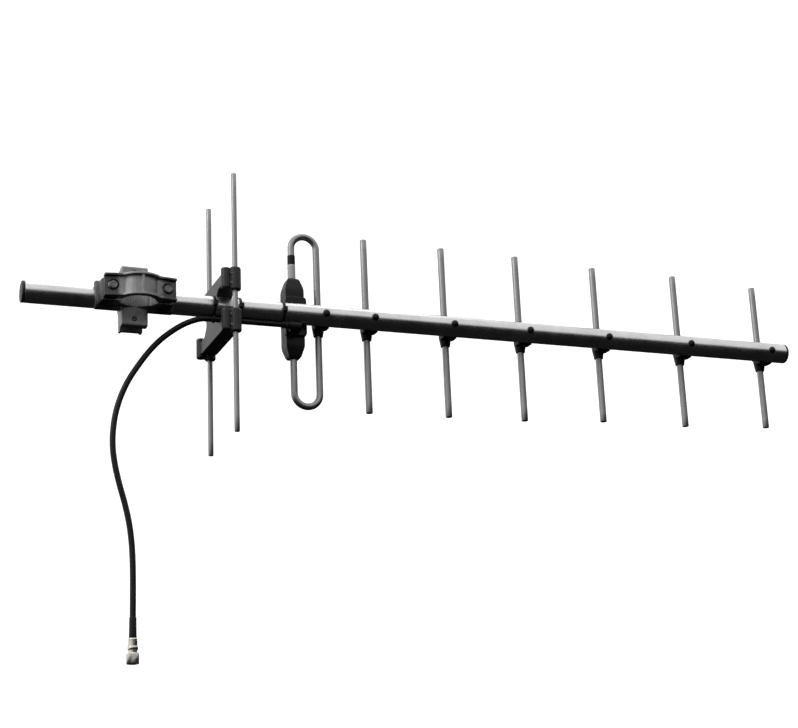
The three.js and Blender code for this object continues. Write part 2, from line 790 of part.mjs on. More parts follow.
// Crossover casting: a long cradle for the boom, two bosses for the mast bolts, and an
// upright whose ends hold the boom bolts.
function clampBase() {
  const boomNear = boomY - boomRadius;
  const cradle = prismYZ(rounded([
    [boomNear - 5, -14],
    [boomNear - 1, -25],
    [boomY - 7, -25],
    [boomY - 7, 25],
    [boomNear - 1, 25],
    [boomNear - 5, 14],
  ], 3), -cradleHalfLength, cradleHalfLength, { bevel: 1.5 });
  const wingTop = prismXY(rounded([
    [-mastWingReach, baseWingFace],
    [-mastBoltPitch / 2 + 13, baseWingFace],
    [-mastRadius + 4, 22],
    [mastRadius - 4, 22],
    [mastBoltPitch / 2 - 13, baseWingFace],
    [mastWingReach, baseWingFace],
    [mastWingReach + 2, boomNear + 4],
    [-mastWingReach - 2, boomNear + 4],
  ], 3), -clampHalfWidth, clampHalfWidth, { bevel: 1 });
  const upright = prismYZ(rounded([
    [mastRadius + 1, -boomWingReach + 2],
    [boomY - 8, -boomWingReach + 2],
    [boomY - 8, boomWingReach - 2],
    [mastRadius + 1, boomWingReach - 2],
  ], 3), -23, 23, { bevel: 1 });
  const body = join(cradle, wingTop, upright);
  const mastWay = prismXY(mastTooth, -80, 80);
  const boomTeethWay = prismXY(boomTooth, -90, 90).rotate([0, 90, 0]).translate([0, boomY, 0]);
  const mastHoles = [-1, 1].map((side) =>
    bar(boltRadius + gap, 0, boomY, { axis: "y", at: [(side * mastBoltPitch) / 2, 0, 0], sides: 16 }));
  const boomHoles = [-1, 1].map((side) =>
    bar(boltRadius + gap, 0, boomY, { axis: "y", at: [0, 0, (side * boomBoltPitch) / 2], sides: 16 }));
  const pockets = [-1, 1].flatMap((side) => [-1, 1].map((end) => {
    const x = side * (mastBoltPitch / 2);
    const z = end * 14.5;
    return block([x - 11, baseWingFace - 2, z - 3], [x + 11, boomNear - 9, z + 3]);
  }));
  return cut(body, mastWay, boomTeethWay, ...mastHoles, ...boomHoles, ...pockets);
}

// ---------------------------------------------------------------- cable, ties and plug
function coaxRun() {
  const from = fedLegX - housingWidth / 2 + 12;
  return bar(coaxRadius, coaxRunEnd + gap / 2, from, { axis: "x", at: [0, coaxSeat.y, coaxSeat.z], sides: 12 });
}

// Tie round boom and cable, with its head on the mast side.
function cableTie(x) {
  const strap = 1.4;
  const low = x - tieWidth / 2;
  const high = x + tieWidth / 2;
  const band = join(
    bar(boomClear + strap, low, high, { axis: "x", sides: 24 }),
    bar(coaxRadius + gap + strap, low, high, { axis: "x", at: [0, coaxSeat.y, coaxSeat.z], sides: 12 }));
  const coaxSpace = bar(coaxRadius + gap, low - 1, high + 1, {
    axis: "x",
    at: [0, coaxSeat.y, coaxSeat.z],
    sides: 12,
  });
  const head = block([x - 4, -boomClear - 6.5, -3.5], [x + 4, -boomClear - 0.4, 4.5]);
  return cut(join(band, head), boomBlank, coaxSpace);
}

// Where the free end hangs, in the part's own frame.
const tailRoute = [
  [coaxRunEnd - gap, boomY + coaxSeat.y, coaxSeat.z],
  [coaxRunEnd - 6, boomY + coaxSeat.y, coaxSeat.z],
  [122, 49.4, -25],
  [108, 49.2, -29.5],
  [93, 49, -36.5],
  [78, 48.5, -46],
  [63, 47.5, -57.5],
  [49, 46, -70],
  [36, 44.5, -84],
  [21, 42.5, -103],
  [6, 40.5, -125],
  [-9, 39, -150],
  [-21, 38, -177],
  [-30, 37, -207],
  [-34.5, 36.5, -238],
  [-35, 36.2, -268],
  [-31, 36, -299],
  [-23.5, 36, -331],
  [-14.5, 36, -363],
  [-7, 36, -396],
  [-2.5, 36, -430],
  [-0.5, 36, -466],
  [0, 36, -504],
  [0, 36, -545],
  [0, 36, -586],
].map((place) => new THREE.Vector3(...place));
const tailEnd = tailRoute[tailRoute.length - 1];

function coaxTail() {
  const route = new THREE.CatmullRomCurve3(tailRoute, false, "centripetal");
  return swept(coaxRadius, route, 36, 10);
}

// Screw-on radio plug in three pieces, hanging from the tail's end.
function plugBody() {
  const body = revolved([
    [0, 0],
    [7, 0],
    [7.6, -1],
    [7.6, -13],
    [8.8, -14],
    [8.8, -19],
    [7.2, -20],
    [7.2, -25],
    [8.4, -25.5],
    [8.4, -28],
    [6.2, -28.5],
    [6.2, -38],
    [0, -38],
  ].reverse(), { at: [tailEnd.x, tailEnd.y, tailEnd.z - gap], sides: 14 });
  const socket = bar(4.4, -40, -29, { at: [tailEnd.x, tailEnd.y, tailEnd.z - gap], sides: 14 });
  return cut(body, socket);
}

function plugNut() {
  const outer = revolved([
    [0, -42],
    [9.6, -42],
    [10.4, -41],
    [10.4, -24.5],
    [9.6, -23.5],
    [0, -23.5],
  ], { at: [tailEnd.x, tailEnd.y, tailEnd.z - gap], sides: 18 });
  const throat = revolved([
    [0, -43],
    [8.8, -43],
    [8.8, -25.1],
    [7.6, -25.1],
    [7.6, -22],
    [0, -22],
  ], { at: [tailEnd.x, tailEnd.y, tailEnd.z - gap], sides: 18 });
  return cut(outer, throat);
}

function plugPin() {
  return revolved([
    [0, -28.8 - gap],
    [3.9, -28.8 - gap],
    [3.9, -31],
    [1.5, -31.2],
    [1.5, -36],
    [0.6, -37.5],
    [0, -37.5],
  ].reverse(), { at: [tailEnd.x, tailEnd.y, tailEnd.z - gap], sides: 16 });
}

// ---------------------------------------------------------------- assembly
const antenna = new THREE.Group();
antenna.position.y = boomY;
antenna.add(
  piece("boom_tube", boomTube(), aluminium),
  piece("boom_rear_cap", boomCap(-1), blackPlastic),
  piece("boom_tip_cap", boomCap(1), blackPlastic),
);
directorPlaces.forEach((x, i) => {
  antenna.add(
    piece(`director_${i + 1}`, director(x, directorLengths[i]), aluminium),
    piece(`director_saddle_${i + 1}`, saddle(x), blackPlastic),
    piece(`director_screw_${i + 1}`, saddleScrew(x), blackPlastic),
  );
});
antenna.add(
  piece("folded_dipole", foldedDipole(), aluminium),
  piece("dipole_saddle", saddle(secondLegX), blackPlastic),
  piece("dipole_screw", saddleScrew(secondLegX), blackPlastic),
  piece("feed_housing", feedHousing(), blackPlastic),
  piece("feed_cover", feedCover(), blackPlastic),
  piece("feed_cover_screw_upper", coverScrew(coverScrewPlaces[0]), steel),
  piece("feed_cover_screw_lower", coverScrew(coverScrewPlaces[1]), steel),
  piece("feed_housing_screw", housingScrew(), steel),
  piece("feed_terminal_upper", feedTerminal(1), brass),
  piece("feed_terminal_lower", feedTerminal(-1), brass),
  piece("matching_board", matchingBoard(), board),
);
const sleeveFrom = housingHalfHeight + gap;
const bandFrom = sleeveFrom + sleeveLength + gap;
antenna.add(
  piece("dipole_sleeve", collar(rodRadius + gap, rodRadius + 1.1, sleeveFrom, sleeveFrom + sleeveLength), greySleeve),
  piece("dipole_band", collar(rodRadius + gap, rodRadius + 0.9, bandFrom, bandFrom + bandLength), blackRubber),
  piece("reflector_near", rod(reflectorRadius, reflectorLength, { x: reflectorX, y: reflectorNear }), aluminium),
  piece("reflector_far", rod(reflectorRadius, reflectorLength, { x: reflectorX, y: reflectorFar }), aluminium),
  piece("reflector_bracket", reflectorBracket(), darkCasting),
  piece("bracket_screw", bracketScrew(), steel),
  piece("coax_run", coaxRun(), cableJacket),
);
clipPlaces.forEach(([name, y, z]) => {
  antenna.add(piece(`reflector_clip_${name}`, clipCap(y, z), darkCasting));
});
tiePlaces.forEach((x, i) => {
  antenna.add(piece(`cable_tie_${i + 1}`, cableTie(x), blackPlastic));
});

const clamp = new THREE.Group();
clamp.add(
  piece("clamp_base", clampBase(), castAluminium),
  piece("mast_jaw", mastJaw(), castAluminium),
  piece("boom_jaw", boomJaw(), castAluminium),
  piece("mast_bolt_left", mastBolt(-1), steel),
  piece("mast_bolt_right", mastBolt(1), steel),
  piece("boom_bolt_upper", boomBolt(1), steel),
  piece("boom_bolt_lower", boomBolt(-1), steel),
);

const tail = new THREE.Group();
tail.add(
  piece("coax_tail", coaxTail(), cableJacket),
  piece("plug_body", plugBody(), nickel),
  piece("plug_nut", plugNut(), nickel),
  piece("plug_pin", plugPin(), brass),
);

const yagi = new THREE.Group();
yagi.add(antenna, clamp, tail);
export default yagi;
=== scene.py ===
"""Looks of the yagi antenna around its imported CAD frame. Metres, +Z up, X along the boom."""

import math

import bmesh
import bpy
from mathutils import Matrix, Vector


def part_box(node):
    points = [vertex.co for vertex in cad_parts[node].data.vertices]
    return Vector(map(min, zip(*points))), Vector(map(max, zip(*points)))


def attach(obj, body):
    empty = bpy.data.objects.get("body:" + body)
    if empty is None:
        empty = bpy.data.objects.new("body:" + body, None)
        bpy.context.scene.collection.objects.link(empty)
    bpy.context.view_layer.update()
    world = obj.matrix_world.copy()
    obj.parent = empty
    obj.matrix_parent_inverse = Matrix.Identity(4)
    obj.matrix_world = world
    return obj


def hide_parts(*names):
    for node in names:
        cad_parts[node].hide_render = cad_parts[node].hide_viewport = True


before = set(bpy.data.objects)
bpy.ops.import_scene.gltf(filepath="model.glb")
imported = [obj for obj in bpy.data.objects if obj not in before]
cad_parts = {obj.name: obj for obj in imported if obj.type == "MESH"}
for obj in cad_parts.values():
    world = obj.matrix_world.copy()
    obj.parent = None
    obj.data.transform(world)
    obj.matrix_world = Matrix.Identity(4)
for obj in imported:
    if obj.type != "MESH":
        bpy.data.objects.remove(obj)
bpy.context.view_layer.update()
MM = 0.001
TURN = 2 * math.pi
SHARP_ANGLE = math.radians(35)

# ---------------------------------------------------------------- camera
CAMERA_PLACE = (-0.6158, -2.7391, -1.0044)
CAMERA_RIGHT = (0.9334, -0.3565, -0.0413)
CAMERA_UP = (-0.0681, -0.2890, 0.9549)
CAMERA_LENS = 78.04
SENSOR_WIDTH = 36.0


def make_camera():
    data = bpy.data.cameras.new("camera")
    data.sensor_width = SENSOR_WIDTH
    data.lens = CAMERA_LENS
    data.clip_start = 0.05
    data.clip_end = 200
    camera = bpy.data.objects.new("camera", data)
    bpy.context.scene.collection.objects.link(camera)
    right = Vector(CAMERA_RIGHT).normalized()
    back = right.cross(Vector(CAMERA_UP)).normalized()
    up = back.cross(right)
    turn = Matrix((right, up, back)).transposed().to_4x4()
    camera.matrix_world = Matrix.Translation(CAMERA_PLACE) @ turn
    bpy.context.scene.camera = camera


make_camera()


# ---------------------------------------------------------------- materials
class Nodes:
    """Short hand for building one material's node tree."""

    def __init__(self, name):
        self.material = bpy.data.materials.new(name)
        self.material.use_nodes = True
        self.tree = self.material.node_tree
        self.shader = self.tree.nodes["Principled BSDF"]
        self.place = self.add("ShaderNodeTexCoord").outputs["Object"]

    def add(self, kind, **settings):
        node = self.tree.nodes.new(kind)
        for key, value in settings.items():
            setattr(node, key, value)
        return node

    def link(self, source, target):
        self.tree.links.new(source, target)

    def stretched(self, scale):
        mapping = self.add("ShaderNodeMapping")
        mapping.inputs["Scale"].default_value = scale
        self.link(self.place, mapping.inputs["Vector"])
        return mapping.outputs["Vector"]

    def noise(self, scale, detail=4.0, roughness=0.55, stretch=(1, 1, 1), distortion=0.0):
        node = self.add("ShaderNodeTexNoise")
        node.inputs["Scale"].default_value = scale
        node.inputs["Detail"].default_value = detail
        node.inputs["Roughness"].default_value = roughness
        node.inputs["Distortion"].default_value = distortion
        self.link(self.stretched(stretch), node.inputs["Vector"])
        return node.outputs["Fac"]

    def spots(self, scale, size, stretch=(1, 1, 1)):
        """1 inside small scattered cells, 0 between them."""
        node = self.add("ShaderNodeTexVoronoi")
        node.inputs["Scale"].default_value = scale
        self.link(self.stretched(stretch), node.inputs["Vector"])
        return self.ranged(node.outputs["Distance"], size, size * 0.45, 0, 1)

    def ranged(self, value, from_low, from_high, to_low, to_high):
        node = self.add("ShaderNodeMapRange", clamp=True)
        for key, number in (
            ("From Min", from_low),
            ("From Max", from_high),
            ("To Min", to_low),
            ("To Max", to_high),
        ):
            node.inputs[key].default_value = number
        self.link(value, node.inputs["Value"])
        return node.outputs["Result"]

    def maths(self, operation, first, second):
        node = self.add("ShaderNodeMath", operation=operation, use_clamp=False)
        for socket, value in zip(node.inputs, (first, second)):
            if isinstance(value, (int, float)):
                socket.default_value = value
            else:
                self.link(value, socket)
        return node.outputs["Value"]

    def mixed(self, factor, first, second):
        node = self.add("ShaderNodeMix", data_type="RGBA")
        for socket, value in ((node.inputs[0], factor), (node.inputs[6], first), (node.inputs[7], second)):
            if isinstance(value, tuple):
                socket.default_value = (*value, 1)
            elif isinstance(value, (int, float)):
                socket.default_value = value
            else:
                self.link(value, socket)
        return node.outputs[2]

    def bump(self, height, strength, distance):
        node = self.add("ShaderNodeBump")
        node.inputs["Strength"].default_value = strength
        node.inputs["Distance"].default_value = distance
        self.link(height, node.inputs["Height"])
        self.link(node.outputs["Normal"], self.shader.inputs["Normal"])

    def edges(self, low, high):
        """1 on convex edges of a dense mesh."""
        geometry = self.add("ShaderNodeNewGeometry")
        return self.ranged(geometry.outputs["Pointiness"], low, high, 0, 1)

    def colour(self, value):
        self.link(value, self.shader.inputs["Base Color"])

    def roughness(self, value):
        self.link(value, self.shader.inputs["Roughness"])

    def metallic(self, value):
        self.shader.inputs["Metallic"].default_value = value


def grey(value, warmth=0.0):
    return (value * (1 + warmth), value, value * (1 - warmth))


def drawn_metal(name, along, level=0.6, roughness=(0.3, 0.46), metallic=1.0, relief=0.22):
    """Drawn aluminium tube or rod: fine lines along it, faint oxide clouds, specks of dirt."""
    n = Nodes(name)
    thin = 0.02
    lines_stretch = tuple(thin if axis == along else 1 for axis in "xyz")
    lines = n.noise(1500, detail=3, stretch=lines_stretch)
    clouds = n.noise(22, detail=6, roughness=0.62, distortion=0.4)
    streaks = n.noise(160, detail=4, stretch=tuple(0.06 if axis == along else 1 for axis in "xyz"))
    specks = n.spots(420, 0.16)
    patches = n.ranged(clouds, 0.36, 0.66, 0, 1)
    base = n.mixed(patches, grey(level * 0.8, 0.01), grey(level, 0.005))
    base = n.mixed(n.ranged(streaks, 0.45, 0.75, 0, 0.35), base, grey(level * 1.14))
    base = n.mixed(n.ranged(lines, 0.4, 0.75, 0, 0.28), base, grey(level * 0.62))
    shade = n.maths("MULTIPLY", specks, n.ranged(clouds, 0.5, 0.62, 0, 0.6))
    n.colour(n.mixed(shade, base, grey(0.14, 0.05)))
    along_lines = n.ranged(lines, 0.3, 0.7, -0.05, 0.06)
    n.roughness(n.maths("ADD", n.ranged(clouds, 0.3, 0.7, *roughness), along_lines))
    n.metallic(metallic)
    n.bump(n.maths("ADD", n.maths("MULTIPLY", lines, 0.5), streaks), relief, 0.0001)
    return n.material


def cast_metal(name, level, worn, roughness, metallic=0.85, grain=1.0, shaded_wings=None):
    """Sand-cast metal: pebbled skin, painted shade in the hollows, edges rubbed bright.

    The last argument gives the distance from the mast axis at which the painted shade on the wings starts,
    and the one at which it is full.
    """
    n = Nodes(name)
    pebbles = n.noise(620, detail=5, roughness=0.6)
    lumps = n.noise(95, detail=4)
    clouds = n.noise(28, detail=5, distortion=0.5)
    pits = n.spots(260, 0.2)
    base = n.mixed(n.ranged(clouds, 0.35, 0.66, 0, 1), grey(level * 0.72, 0.02), grey(level))
    base = n.mixed(n.ranged(pebbles, 0.42, 0.7, 0, 0.4), base, grey(level * 1.25))
    base = n.mixed(n.maths("MULTIPLY", pits, 0.45), base, grey(level * 0.35, 0.03))
    rubbed = n.maths("MULTIPLY", n.edges(0.515, 0.575), n.ranged(lumps, 0.38, 0.6, 0.25, 1))
    # painted shade: concave places, found by low pointiness, are darkened
    base = n.mixed(n.edges(0.49, 0.43), base, grey(level * 0.45))
    base = n.mixed(rubbed, base, grey(worn))
    # painted shade: the casting's wings grow dark away from the mast axis, standing in for the shade they sit
    # in, with a wavy, patchy edge
    if shaded_wings:
        split = n.add("ShaderNodeSeparateXYZ")
        n.link(n.place, split.inputs[0])
        shift = n.ranged(lumps, 0.3, 0.7, -0.006, 0.006)
        offset = n.maths("ADD", n.maths("ABSOLUTE", split.outputs["X"], 0), shift)
        wing_shade = n.maths("MULTIPLY", n.ranged(offset, *shaded_wings, 0, 1), n.ranged(clouds, 0.25, 0.7, 0.95, 0.7))
        base = n.mixed(wing_shade, base, grey(level * 0.16))
    n.colour(base)
    skin = n.maths("ADD", n.ranged(pebbles, 0.3, 0.7, *roughness), n.maths("MULTIPLY", rubbed, -0.14))
    n.roughness(skin)
    n.metallic(metallic)
    n.shader.inputs["Specular IOR Level"].default_value = 0.3
    height = n.maths("ADD", n.maths("MULTIPLY", pebbles, 0.7), n.maths("MULTIPLY", lumps, 1.3))
    n.bump(n.maths("SUBTRACT", height, n.maths("MULTIPLY", pits, 0.3)), 0.55 * grain, 0.0006)
    return n.material


def moulded(name, level, roughness, spread=0.45, grain=1500, height=0.00008, tint=0.0):
    """Moulded plastic or rubber: satin grain, faint bloom, handling scuffs."""
    n = Nodes(name)
    fine = n.noise(grain, detail=3)
    clouds = n.noise(36, detail=5, distortion=0.6)
    scuffs = n.noise(240, detail=6, roughness=0.7, stretch=(1, 0.22, 0.3))
    base = n.mixed(n.ranged(clouds, 0.34, 0.68, 0, 1), grey(level * (1 - spread), tint), grey(level, tint))
    base = n.mixed(n.ranged(scuffs, 0.6, 0.78, 0, 0.5), base, grey(level * 2.1 + 0.01, tint))
    rubbed = n.edges(0.52, 0.6)
    n.colour(n.mixed(n.maths("MULTIPLY", rubbed, 0.35), base, grey(level * 2.6 + 0.012, tint)))
    rough = n.maths("ADD", n.ranged(clouds, 0.3, 0.7, *roughness), n.ranged(scuffs, 0.55, 0.8, 0, -0.12))
    n.roughness(rough)
    n.shader.inputs["Specular IOR Level"].default_value = 0.22
    n.bump(n.maths("ADD", fine, n.maths("MULTIPLY", scuffs, 0.6)), 0.5, height)
    return n.material


def turned_metal(name, colour, roughness, axis="z"):
    """Turned or plated metal: rings of tool marks, slight tarnish."""
    n = Nodes(name)
    rings = n.noise(1800, detail=2, stretch=tuple(1 if a == axis else 0.04 for a in "xyz"))
    clouds = n.noise(120, detail=5)
    dull = tuple(c * 0.62 for c in colour)
    base = n.mixed(n.ranged(clouds, 0.35, 0.68, 0, 0.75), colour, dull)
    n.colour(n.mixed(n.ranged(rings, 0.45, 0.7, 0, 0.25), base, tuple(c * 0.8 for c in colour)))
    tool_marks = n.ranged(rings, 0.3, 0.7, -0.04, 0.05)
    n.roughness(n.maths("ADD", n.ranged(clouds, 0.3, 0.7, *roughness), tool_marks))
    n.metallic(1.0)
    n.bump(n.maths("ADD", rings, n.maths("MULTIPLY", clouds, 0.4)), 0.25, 0.00005)
    return n.material


def laminate(name):
    """Circuit laminate: green lacquer with the weave of the glass cloth showing through."""
    n = Nodes(name)
    weave_a = n.add("ShaderNodeTexWave", wave_type="BANDS", bands_direction="X")
    weave_b = n.add("ShaderNodeTexWave", wave_type="BANDS", bands_direction="Z")
    for weave in (weave_a, weave_b):
        weave.inputs["Scale"].default_value = 260
        n.link(n.place, weave.inputs["Vector"])
    weave = n.maths("MULTIPLY", weave_a.outputs["Fac"], weave_b.outputs["Fac"])
    clouds = n.noise(60)
    n.colour(n.mixed(n.maths("MULTIPLY", weave, clouds), (0.02, 0.1, 0.04), (0.06, 0.24, 0.1)))
    n.roughness(n.ranged(clouds, 0.3, 0.7, 0.22, 0.4))
    n.bump(weave, 0.2, 0.00005)
    return n.material


LOOKS = {
    "boom": drawn_metal("drawn_aluminium_x", "x", 0.62, (0.22, 0.32), relief=0.14),
    "rod": drawn_metal("drawn_aluminium_z", "z", 0.3, (0.34, 0.46), relief=0.08),
    # the jaw casting gets painted shade on its wings, from 33 to 42 mm off the mast axis
    "cast": cast_metal("cast_aluminium", 0.3, 0.55, (0.46, 0.6), shaded_wings=(0.033, 0.042)),
    "dark": cast_metal("dark_casting", 0.035, 0.16, (0.36, 0.52), metallic=0.35, grain=0.9),
    "plastic": moulded("black_moulding", 0.01, (0.38, 0.52)),
    "tape": moulded("black_tape", 0.01, (0.42, 0.56), grain=700, height=0.0002),
    "sleeve": moulded("grey_sleeve", 0.46, (0.36, 0.5), spread=0.14, grain=500, height=0.00015, tint=0.01),
    "jacket": moulded("cable_jacket", 0.01, (0.34, 0.48), grain=900, height=0.0001),
    "steel": turned_metal("stainless_steel", (0.17, 0.17, 0.175), (0.32, 0.48)),
    "brass": turned_metal("brass", (0.68, 0.5, 0.24), (0.24, 0.4)),
    "nickel": turned_metal("nickel_plate", (0.62, 0.6, 0.55), (0.16, 0.3)),
    "board": laminate("circuit_board"),
}


# ---------------------------------------------------------------- making pieces
def finish_piece(obj, look, body, nodes=()):
    """Gives a piece its look and body, and hides the CAD nodes that it stands for."""
    obj.data.materials.clear()
    obj.data.materials.append(LOOKS[look])
    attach(obj, body)
    if nodes:
        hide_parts(*nodes)
    return obj


def piece_from(name, vertices, faces, look, body, nodes=()):
    mesh = bpy.data.meshes.new(name)
    mesh.from_pydata(vertices, [], faces)
    mesh.validate()
    work = bmesh.new()
    work.from_mesh(mesh)
    bmesh.ops.remove_doubles(work, verts=work.verts, dist=1e-7)
    bmesh.ops.recalc_face_normals(work, faces=work.faces)
    work.to_mesh(mesh)
    work.free()
    mesh.polygons.foreach_set("use_smooth", [True] * len(mesh.polygons))
    mesh.set_sharp_from_angle(angle=SHARP_ANGLE)
    obj = bpy.data.objects.new(name, mesh)
    bpy.context.scene.collection.objects.link(obj)
    return finish_piece(obj, look, body, nodes)


AXES = {
    "x": lambda r, h, t: (h, r * math.cos(t), r * math.sin(t)),
    "y": lambda r, h, t: (r * math.sin(t), h, r * math.cos(t)),
    "z": lambda r, h, t: (r * math.cos(t), r * math.sin(t), h),
}


def lathe(profile, axis="z", at=(0, 0, 0), sides=48, shape=None, closed=False):
    """Vertices and faces of a turned form. shape(radius, angle) may change the radius round it."""
    vertices, faces, rows = [], [], []
    for radius, height in profile:
        row = []
        count = 1 if radius <= 0 else sides
        for i in range(count):
            angle = TURN * i / sides
            r = shape(radius, angle) if shape and radius > 0 else radius
            x, y, z = AXES[axis](r, height, angle)
            row.append(len(vertices))
            vertices.append((x + at[0], y + at[1], z + at[2]))
        rows.append(row)
    pairs = list(zip(rows, rows[1:]))
    if closed:
        pairs.append((rows[-1], rows[0]))
    for low, high in pairs:
        for i in range(sides):
            j = (i + 1) % sides
            corners = [low[i % len(low)], low[j % len(low)], high[j % len(high)], high[i % len(high)]]
            unique = list(dict.fromkeys(corners))
            if len(unique) > 2:
                faces.append(unique)
    return vertices, faces


def gathered(*forms):
    """Several forms as one list of vertices and faces."""
    vertices, faces = [], []
    for more_vertices, more_faces in forms:
        start = len(vertices)
        vertices += more_vertices
        faces += [[start + i for i in face] for face in more_faces]
    return vertices, faces


def turned(name, profile, look, body, nodes=(), axis="z", at=(0, 0, 0), sides=48, shape=None, closed=False):
    form = lathe(profile, axis, at, sides, shape, closed)
    return piece_from(name, *form, look, body, nodes)


def swept(points, radius, sides=28):
    """Tube through the points, kept from twisting, with closed ends."""
    points = [Vector(p) for p in points]
    vertices, faces, previous = [], [], None
    side = None
    for i, point in enumerate(points):
        before = points[max(0, i - 1)]
        after = points[min(len(points) - 1, i + 1)]
        along = (after - before).normalized()
        if side is None:
            side = along.orthogonal().normalized()
        side = (side - along * side.dot(along)).normalized()
        across = along.cross(side)
        row = []
        for k in range(sides):
            angle = TURN * k / sides
            row.append(len(vertices))
            place = point + side * (radius * math.cos(angle)) + across * (radius * math.sin(angle))
            vertices.append(tuple(place))
        if previous:
            for k in range(sides):
                j = (k + 1) % sides
                faces.append([previous[k], previous[j], row[j], row[k]])
        else:
            faces.append(row[::-1])
        previous = row
    faces.append(previous)
    return vertices, faces


def softened(name, source, voxel, passes, look, body, nodes=(), shift=(0, 0, 0), shared=None):
    """A casting or moulding: the CAD shape with its edges and corners rounded as in a mould."""
    if shared is None:
        work = bpy.data.objects.new(name + "_work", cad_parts[source].data.copy())
        bpy.context.scene.collection.objects.link(work)
        remesh = work.modifiers.new("remesh", "REMESH")
        remesh.mode = "VOXEL"
        remesh.voxel_size = voxel
        smooth = work.modifiers.new("smooth", "SMOOTH")
        smooth.factor = 0.5
        smooth.iterations = passes
        bpy.context.view_layer.update()
        ready = work.evaluated_get(bpy.context.evaluated_depsgraph_get())
        shared = bpy.data.meshes.new_from_object(ready)
        shared.name = name
        bpy.data.objects.remove(work)
        shared.polygons.foreach_set("use_smooth", [True] * len(shared.polygons))
    obj = bpy.data.objects.new(name, shared)
    bpy.context.scene.collection.objects.link(obj)
    obj.location = shift
    finish_piece(obj, look, body, nodes)
    return obj


def middle(node):
    low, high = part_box(node)
    return (low + high) / 2


# ---------------------------------------------------------------- cable tail, first
COAX_RADIUS = 5.15 * MM
TAIL_ROUTE = [
    (139.7, 49.4, -23.96),
    (134, 49.4, -23.96),
    (122, 49.4, -25),
    (108, 49.2, -29.5),
    (93, 49, -36.5),
    (78, 48.5, -46),
    (63, 47.5, -57.5),
    (49, 46, -70),
    (36, 44.5, -84),
    (21, 42.5, -103),
    (6, 40.5, -125),
    (-9, 39, -150),
    (-21, 38, -177),
    (-30, 37, -207),
    (-34.5, 36.5, -238),
    (-35, 36.2, -268),
    (-31, 36, -299),
    (-23.5, 36, -331),
    (-14.5, 36, -363),
    (-7, 36, -396),
    (-2.5, 36, -430),
    (-0.5, 36, -466),
    (0, 36, -504),
    (0, 36, -545),
    (0, 36, -586),
]


def smooth_route(points, steps):
    """Centripetal spline through the points, `steps` stations to a span."""
    ends = [points[0] * 2 - points[1], *points, points[-1] * 2 - points[-2]]
    route = []
    for i in range(1, len(ends) - 2):
        a, b, c, d = ends[i - 1 : i + 3]
        t0 = 0.0
        t1 = t0 + (b - a).length ** 0.5
        t2 = t1 + (c - b).length ** 0.5
        t3 = t2 + (d - c).length ** 0.5
        for k in range(steps):
            t = t1 + (t2 - t1) * k / steps
            ab = a * ((t1 - t) / (t1 - t0)) + b * ((t - t0) / (t1 - t0))
            bc = b * ((t2 - t) / (t2 - t1)) + c * ((t - t1) / (t2 - t1))
            cd = c * ((t3 - t) / (t3 - t2)) + d * ((t - t2) / (t3 - t2))
            abc = ab * ((t2 - t) / (t2 - t0)) + bc * ((t - t0) / (t2 - t0))
            bcd = bc * ((t3 - t) / (t3 - t1)) + cd * ((t - t1) / (t3 - t1))
            route.append(abc * ((t2 - t) / (t2 - t1)) + bcd * ((t - t1) / (t2 - t1)))
    route.append(points[-1])
    return route


tail_path = smooth_route([Vector(p) * MM for p in TAIL_ROUTE], 6)
tail = piece_from("coax_tail_jacket", *swept(tail_path, COAX_RADIUS, 28), "jacket", "clamp", ["coax_tail"])

# plug at the end of the tail
tail_end = tail_path[-1]


def knurl(count, depth):
    return lambda radius, angle: radius + depth * (abs(((angle * count / TURN) % 1) * 2 - 1) - 0.5)


def plug():
    at = (tail_end.x, tail_end.y, tail_end.z - 0.3 * MM)
    body_profile = [
        (0, 0), (6.6, 0), (7.2, -0.5), (7.6, -1.4), (7.6, -3), (7.2, -3.4), (7.2, -4), (7.6, -4.4),
        (7.6, -12.6), (8.4, -13.2), (8.8, -14), (8.8, -18.6), (8.4, -19.2), (7.3, -20), (7.2, -25),
        (8.2, -25.4), (8.4, -25.8), (8.4, -27.8), (8.0, -28.2), (6.4, -28.6), (6.2, -29.2), (6.2, -37.6),
        (5.9, -38), (4.7, -38), (4.4, -37.6), (4.4, -29.2), (0, -29),
    ]
    nut_profile = [
        (8.9, -42), (9.5, -42), (9.9, -41.6), (10.1, -41.2), (10.1, -25.2), (9.8, -24.4), (9.2, -23.6),
        (7.8, -23.5), (7.7, -24.6), (7.9, -25.1), (8.8, -25.3), (8.8, -41.8),
    ]
    pin_profile = [
        (0, -29), (3.8, -29), (3.8, -31), (1.5, -31.2), (1.5, -36), (1.2, -36.9), (0.5, -37.5), (0, -37.5),
    ]

    def scaled(profile):
        return [(r * MM, h * MM) for r, h in profile]

    def nut_shape(radius, angle):
        return knurl(44, 0.5 * MM)(radius, angle) if radius > 9.7 * MM else radius

    def flats(radius, angle):
        """Two spanner flats on the widest ring of the body."""
        if radius < 8.5 * MM:
            return radius
        return min(radius, 8.0 * MM / max(0.2, abs(math.cos(angle))))

    body = turned(
        "plug_shell", scaled(body_profile), "nickel", "clamp", ["plug_body"], at=at, sides=72, shape=flats,
    )
    turned(
        "plug_coupling_nut", scaled(nut_profile), "nickel", "plug_nut", ["plug_nut"],
        at=at, sides=264, shape=nut_shape, closed=True,
    )
    pin = turned("plug_centre_pin", scaled(pin_profile), "brass", "clamp", ["plug_pin"], at=at, sides=40)
    boot_profile = [
        (5.25, 34), (5.7, 33.6), (5.95, 32), (6.05, 20), (6.3, 6), (6.5, 0.8), (6.3, 0.2), (5.25, 0.2),
    ]
    boot_profile = [(r, h - 0.3) for r, h in boot_profile]
    boot = turned(
        "plug_shrink_boot", scaled(boot_profile), "tape", "clamp",
        at=tuple(tail_end), sides=40, closed=True,
    )
    return [body, "plug_coupling_nut", pin, boot]


plug_pieces = plug()

